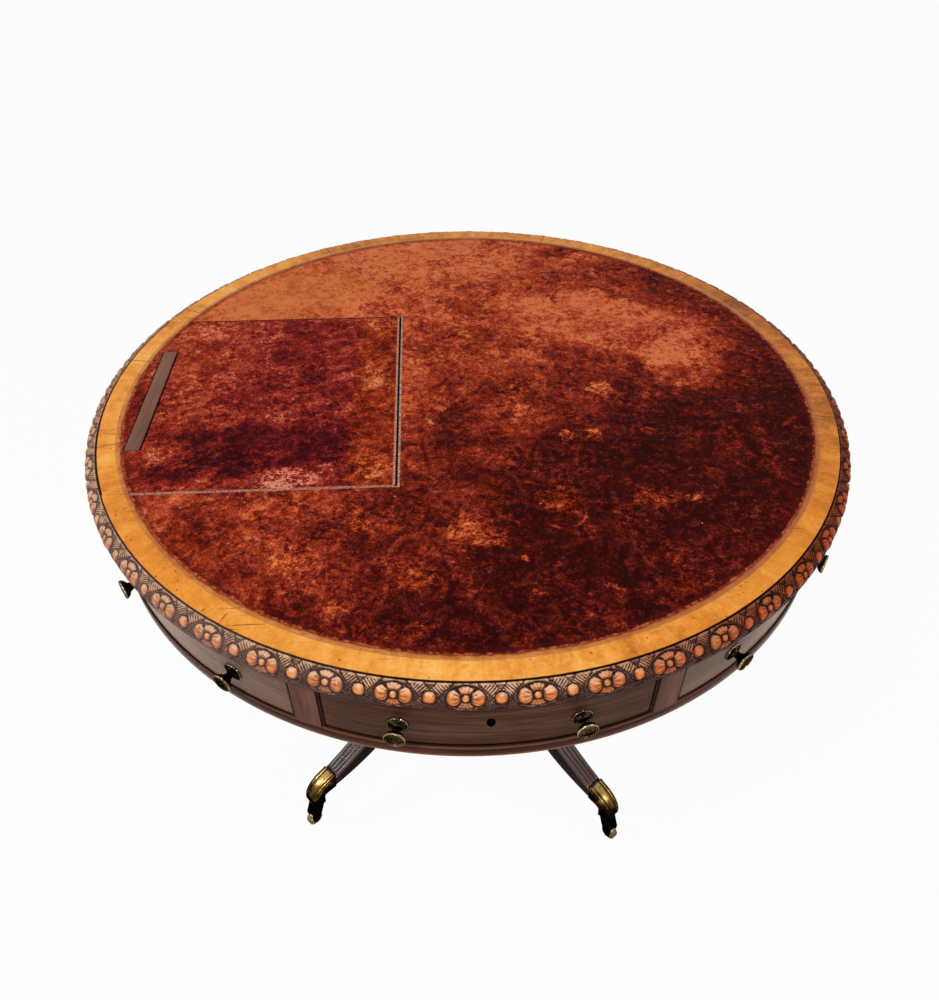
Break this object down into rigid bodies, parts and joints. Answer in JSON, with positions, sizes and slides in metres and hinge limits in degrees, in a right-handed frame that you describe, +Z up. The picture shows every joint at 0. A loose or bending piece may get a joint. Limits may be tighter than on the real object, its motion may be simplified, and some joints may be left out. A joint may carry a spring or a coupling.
{
  "type": "drum table",
  "caption": "Round leather-topped drum writing table: revolving frieze with drawers, a rising reading slope with ratchet strut and flip-up ledge, turned column and sabre legs on castors.",
  "frame": {"origin": "on the floor under the column, at the middle of the round top's footprint", "axes": "+Z up; the front drawer faces -Y; the reading slope lies on the -X side"},
  "size_m": [1.0254, 1.0254, 0.775],
  "materials": {
    "mahogany_dark": "polished dark mahogany, reeded",
    "mahogany": "french polished",
    "crossband_wood": "french polished satinwood-toned mahogany",
    "carved_wood": "carved and waxed",
    "writing_leather": "worn hide",
    "brass": "aged brass",
    "iron": "black iron",
    "oak_lining": "waxed",
    "pine_board": "bare board"
  },
  "bodies": {
    "base": {"column": "mahogany_dark", "bearer_block": "mahogany_dark", "pivot_spigot": "iron", "pivot_nut": "iron", "leg_1": "mahogany_dark", "leg_2": "mahogany_dark", "leg_3": "mahogany_dark", "leg_4": "mahogany_dark", "toe_caps": "brass", "leg_brace": "iron", "brace_screws": "iron", "finial": "mahogany_dark"},
    "drum": {"top_board": "mahogany", "leather_top": "writing_leather", "crossband": "crossband_wood", "carved_rim": "carved_wood", "top_rail": "mahogany", "bottom_rail": "mahogany", "drum_floor": "pine_board", "hub_block": "pine_board", "frieze_stiles": "mahogany", "drawer_guides": "pine_board", "core_boards": "pine_board", "false_fronts": "mahogany", "false_front_knobs": "brass", "slope_well": "pine_board", "slope_rack": "mahogany", "hinge_plates": "brass"},
    "slope": {"slope_board": "mahogany", "slope_leather": "writing_leather", "slope_crossband": "crossband_wood", "slope_pins": "brass", "strut_lugs": "brass"},
    "strut": {"slope_strut": "mahogany"},
    "ledge": {"book_ledge": "mahogany"},
    "front_drawer": {"front_drawer_face": "mahogany", "front_drawer_box": "oak_lining", "front_drawer_brass": "brass"},
    "front_bolt": {"front_lock_bolt": "iron"},
    "right_drawer": {"right_drawer_face": "mahogany", "right_drawer_box": "oak_lining", "right_drawer_brass": "brass"},
    "right_bolt": {"right_lock_bolt": "iron"},
    "back_drawer": {"back_drawer_face": "mahogany", "back_drawer_box": "oak_lining", "back_drawer_brass": "brass"},
    "back_bolt": {"back_lock_bolt": "iron"},
    "left_drawer": {"left_drawer_face": "mahogany", "left_drawer_box": "oak_lining", "left_drawer_brass": "brass"},
    "left_bolt": {"left_lock_bolt": "iron"},
    "castor_1": {"castor_horn_1": "brass"},
    "wheel_1": {"castor_wheel_1": "brass"},
    "castor_2": {"castor_horn_2": "brass"},
    "wheel_2": {"castor_wheel_2": "brass"},
    "castor_3": {"castor_horn_3": "brass"},
    "wheel_3": {"castor_wheel_3": "brass"},
    "castor_4": {"castor_horn_4": "brass"},
    "wheel_4": {"castor_wheel_4": "brass"}
  },
  "joints": [
    {"name": "drum_turn", "type": "hinge", "parent": "base", "child": "drum", "pos_m": [0, 0, 0.66], "axis": [0, 0, 1], "continuous": true},
    {"name": "slope_lift", "type": "hinge", "parent": "drum", "child": "slope", "pos_m": [-0.437, -0.008, 0.77], "axis": [0, -1, 0], "range_deg": [0, 30]},
    {"name": "strut_swing", "type": "hinge", "parent": "slope", "child": "strut", "pos_m": [-0.317, -0.008, 0.757], "axis": [0, 1, 0], "range_deg": [0, 60]},
    {"name": "ledge_turn", "type": "hinge", "parent": "slope", "child": "ledge", "pos_m": [-0.4425, -0.008, 0.772], "axis": [0, -1, 0], "range_deg": [0, 90]},
    {"name": "front_drawer_slide", "type": "slide", "parent": "drum", "child": "front_drawer", "axis": [0, -1, 0], "range_m": [0, 0.24]},
    {"name": "front_bolt_throw", "type": "slide", "parent": "front_drawer", "child": "front_bolt", "axis": [0, 0, 1], "range_m": [0, 0.006]},
    {"name": "right_drawer_slide", "type": "slide", "parent": "drum", "child": "right_drawer", "axis": [1, 0, 0], "range_m": [0, 0.24]},
    {"name": "right_bolt_throw", "type": "slide", "parent": "right_drawer", "child": "right_bolt", "axis": [0, 0, 1], "range_m": [0, 0.006]},
    {"name": "back_drawer_slide", "type": "slide", "parent": "drum", "child": "back_drawer", "axis": [0, 1, 0], "range_m": [0, 0.24]},
    {"name": "back_bolt_throw", "type": "slide", "parent": "back_drawer", "child": "back_bolt", "axis": [0, 0, 1], "range_m": [0, 0.006]},
    {"name": "left_drawer_slide", "type": "slide", "parent": "drum", "child": "left_drawer", "axis": [-1, 0, 0], "range_m": [0, 0.24]},
    {"name": "left_bolt_throw", "type": "slide", "parent": "left_drawer", "child": "left_bolt", "axis": [0, 0, 1], "range_m": [0, 0.006]},
    {"name": "castor_swivel_1", "type": "hinge", "parent": "base", "child": "castor_1", "pos_m": [0.22914, -0.27896, 0.06], "axis": [0, 0, 1], "continuous": true},
    {"name": "castor_roll_1", "type": "hinge", "parent": "castor_1", "child": "wheel_1", "pos_m": [0.23707, -0.28862, 0.013], "axis": [0.7727, 0.6347, 0], "continuous": true},
    {"name": "castor_swivel_2", "type": "hinge", "parent": "base", "child": "castor_2", "pos_m": [0.27896, 0.22914, 0.06], "axis": [0, 0, 1], "continuous": true},
    {"name": "castor_roll_2", "type": "hinge", "parent": "castor_2", "child": "wheel_2", "pos_m": [0.28862, 0.23707, 0.013], "axis": [-0.6347, 0.7727, 0], "continuous": true},
    {"name": "castor_swivel_3", "type": "hinge", "parent": "base", "child": "castor_3", "pos_m": [-0.22914, 0.27896, 0.06], "axis": [0, 0, 1], "continuous": true},
    {"name": "castor_roll_3", "type": "hinge", "parent": "castor_3", "child": "wheel_3", "pos_m": [-0.23707, 0.28862, 0.013], "axis": [-0.7727, -0.6347, 0], "continuous": true},
    {"name": "castor_swivel_4", "type": "hinge", "parent": "base", "child": "castor_4", "pos_m": [-0.27896, -0.22914, 0.06], "axis": [0, 0, 1], "continuous": true},
    {"name": "castor_roll_4", "type": "hinge", "parent": "castor_4", "child": "wheel_4", "pos_m": [-0.28862, -0.23707, 0.013], "axis": [0.6347, -0.7727, 0], "continuous": true}
  ],
  "couplings": [
    {"joint": "strut_swing", "follows": "slope_lift", "ratio": 2}
  ]
}
